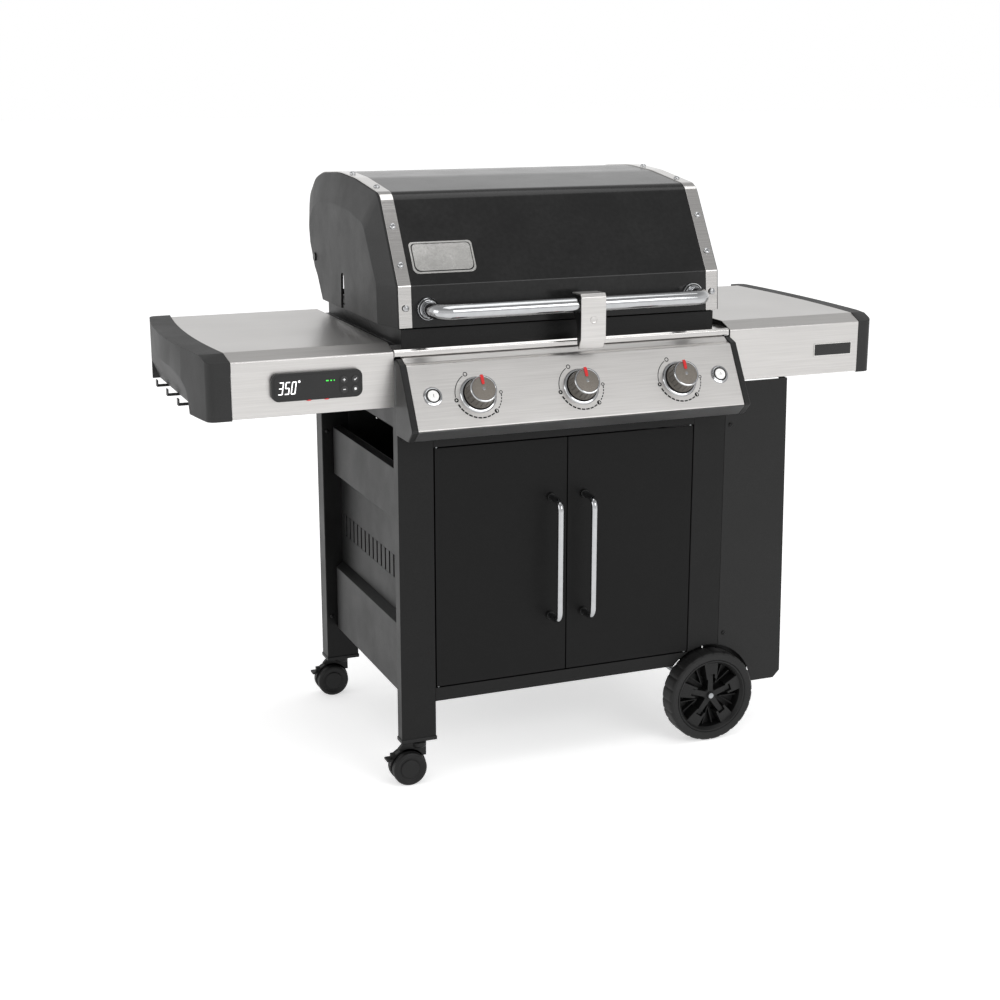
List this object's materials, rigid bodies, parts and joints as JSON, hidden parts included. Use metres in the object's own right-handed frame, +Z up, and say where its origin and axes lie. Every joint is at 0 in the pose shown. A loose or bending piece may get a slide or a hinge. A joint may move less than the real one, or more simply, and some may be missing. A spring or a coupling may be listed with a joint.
{
  "type": "gas barbecue grill",
  "caption": "Gas barbecue on a two-door cabinet cart with a hinged domed lid, leaning knob panel, side tables, twin casters and large wheels.",
  "frame": {"origin": "on the floor under the middle of the whole outline, side tables and knobs included", "axes": "+X to the user's right along the side tables, +Y towards the back, +Z up"},
  "size_m": [1.499, 0.7363, 1.2278],
  "materials": {
    "stainless": "brushed stainless steel",
    "chrome": "bright chrome plate",
    "black_paint": "satin black powder coat",
    "enamel": "gloss black porcelain enamel",
    "cast_lid": "satin black painted casting",
    "cast_box": "matte black painted casting",
    "panel_grey": "matte dark grey powder coat",
    "grate_iron": "matte black enamel",
    "steel": "plain steel",
    "cap_plastic": "grained dark grey plastic",
    "knob_plastic": "warm grey soft plastic",
    "gloss_black": "gloss black plastic",
    "wheel_plastic": "black moulded plastic",
    "light_shell": "silver painted plastic"
  },
  "bodies": {
    "cart": {"front_left_leg": "black_paint", "front_right_leg": "black_paint", "rear_legs": "black_paint", "frame_rails": "black_paint", "tray_runners": "black_paint", "left_side_panel": "panel_grey", "right_side_panel": "panel_grey", "floor_panel": "panel_grey", "back_panel": "panel_grey", "tank_shield": "panel_grey", "door_hinge_pins": "steel", "left_table": "stainless", "right_table": "stainless", "left_table_cap": "cap_plastic", "right_table_cap": "cap_plastic", "table_arms": "black_paint", "tool_hooks": "black_paint", "display_unit": "gloss_black", "cookbox": "cast_box", "left_grate": "grate_iron", "right_grate": "grate_iron", "heat_plates": "steel", "burners": "steel", "gas_manifold": "steel", "warming_rack": "chrome", "control_panel": "stainless", "panel_ends": "cast_lid", "panel_trim": "panel_grey", "wheel_axle": "steel"},
    "lid": {"lid_panel": "enamel", "lid_left_end": "cast_lid", "lid_right_end": "cast_lid", "lid_trim_bands": "chrome", "lid_bolts": "steel", "lid_hinge_pins": "steel", "lid_handle": "chrome", "handle_bases": "chrome", "handle_light": "light_shell"},
    "light_button": {"light_button": "light_shell"},
    "left_door": {"left_door": "black_paint", "left_door_handle": "chrome"},
    "right_door": {"right_door": "black_paint", "right_door_handle": "chrome"},
    "left_knob": {"left_knob": "knob_plastic"},
    "middle_knob": {"middle_knob": "knob_plastic"},
    "right_knob": {"right_knob": "knob_plastic"},
    "left_push_button": {"left_push_button": "chrome"},
    "right_push_button": {"right_push_button": "chrome"},
    "plus_key": {"plus_key": "gloss_black"},
    "minus_key": {"minus_key": "gloss_black"},
    "check_key": {"check_key": "gloss_black"},
    "lamp_key": {"lamp_key": "gloss_black"},
    "front_wheel": {"front_wheel": "wheel_plastic"},
    "rear_wheel": {"rear_wheel": "wheel_plastic"},
    "front_caster": {"front_caster_fork": "wheel_plastic"},
    "front_caster_wheels": {"front_caster_wheels": "wheel_plastic"},
    "front_caster_brake": {"front_caster_brake": "wheel_plastic"},
    "rear_caster": {"rear_caster_fork": "wheel_plastic"},
    "rear_caster_wheels": {"rear_caster_wheels": "wheel_plastic"},
    "rear_caster_brake": {"rear_caster_brake": "wheel_plastic"},
    "grease_tray": {"grease_tray": "steel"}
  },
  "joints": [
    {"name": "lid_hinge", "type": "hinge", "parent": "cart", "child": "lid", "pos_m": [0.0135, 0.2662, 1.034], "axis": [-1, 0, 0], "range_deg": [0, 90]},
    {"name": "light_press", "type": "slide", "parent": "lid", "child": "light_button", "axis": [0, 1, 0], "range_m": [0, 0.0015], "stiffness_N_per_m": 400, "springref_m": -0.001},
    {"name": "left_door_hinge", "type": "hinge", "parent": "cart", "child": "left_door", "pos_m": [-0.271, -0.2593, 0.45], "axis": [0, 0, -1], "range_deg": [0, 105]},
    {"name": "right_door_hinge", "type": "hinge", "parent": "cart", "child": "right_door", "pos_m": [0.298, -0.2593, 0.45], "axis": [0, 0, 1], "range_deg": [0, 105]},
    {"name": "left_knob_turn", "type": "hinge", "parent": "cart", "child": "left_knob", "pos_m": [-0.2065, -0.32579, 0.8223], "axis": [0, -0.865, 0.5019], "range_deg": [0, 250]},
    {"name": "middle_knob_turn", "type": "hinge", "parent": "cart", "child": "middle_knob", "pos_m": [0.0135, -0.32579, 0.8223], "axis": [0, -0.865, 0.5019], "range_deg": [0, 250]},
    {"name": "right_knob_turn", "type": "hinge", "parent": "cart", "child": "right_knob", "pos_m": [0.2335, -0.32579, 0.8223], "axis": [0, -0.865, 0.5019], "range_deg": [0, 250]},
    {"name": "left_push_press", "type": "slide", "parent": "cart", "child": "left_push_button", "axis": [0, 0.865, -0.5019], "range_m": [0, 0.003], "stiffness_N_per_m": 400, "springref_m": -0.001},
    {"name": "right_push_press", "type": "slide", "parent": "cart", "child": "right_push_button", "axis": [0, 0.865, -0.5019], "range_m": [0, 0.003], "stiffness_N_per_m": 400, "springref_m": -0.001},
    {"name": "plus_key_press", "type": "slide", "parent": "cart", "child": "plus_key", "axis": [0, 1, 0], "range_m": [0, 0.0012], "stiffness_N_per_m": 300, "springref_m": -0.001},
    {"name": "minus_key_press", "type": "slide", "parent": "cart", "child": "minus_key", "axis": [0, 1, 0], "range_m": [0, 0.0012], "stiffness_N_per_m": 300, "springref_m": -0.001},
    {"name": "check_key_press", "type": "slide", "parent": "cart", "child": "check_key", "axis": [0, 1, 0], "range_m": [0, 0.0012], "stiffness_N_per_m": 300, "springref_m": -0.001},
    {"name": "lamp_key_press", "type": "slide", "parent": "cart", "child": "lamp_key", "axis": [0, 1, 0], "range_m": [0, 0.0012], "stiffness_N_per_m": 300, "springref_m": -0.001},
    {"name": "front_wheel_roll", "type": "hinge", "parent": "cart", "child": "front_wheel", "pos_m": [0.3545, -0.2698, 0.1016], "axis": [0, 1, 0], "continuous": true},
    {"name": "rear_wheel_roll", "type": "hinge", "parent": "cart", "child": "rear_wheel", "pos_m": [0.3545, 0.3222, 0.1016], "axis": [0, 1, 0], "continuous": true},
    {"name": "front_caster_swivel", "type": "hinge", "parent": "cart", "child": "front_caster", "pos_m": [-0.3115, -0.2498, 0.08], "axis": [0, 0, 1], "continuous": true},
    {"name": "front_caster_roll", "type": "hinge", "parent": "front_caster", "child": "front_caster_wheels", "pos_m": [-0.3375, -0.2498, 0.036], "axis": [0, 1, 0], "continuous": true},
    {"name": "front_caster_brake_press", "type": "hinge", "parent": "front_caster", "child": "front_caster_brake", "pos_m": [-0.3645, -0.2498, 0.064], "axis": [0, -1, 0], "range_deg": [0, 8]},
    {"name": "rear_caster_swivel", "type": "hinge", "parent": "cart", "child": "rear_caster", "pos_m": [-0.3115, 0.3022, 0.08], "axis": [0, 0, 1], "continuous": true},
    {"name": "rear_caster_roll", "type": "hinge", "parent": "rear_caster", "child": "rear_caster_wheels", "pos_m": [-0.3375, 0.3022, 0.036], "axis": [0, 1, 0], "continuous": true},
    {"name": "rear_caster_brake_press", "type": "hinge", "parent": "rear_caster", "child": "rear_caster_brake", "pos_m": [-0.3645, 0.3022, 0.064], "axis": [0, -1, 0], "range_deg": [0, 8]},
    {"name": "grease_tray_slide", "type": "slide", "parent": "cart", "child": "grease_tray", "axis": [0, 1, 0], "range_m": [0, 0.3]}
  ]
}
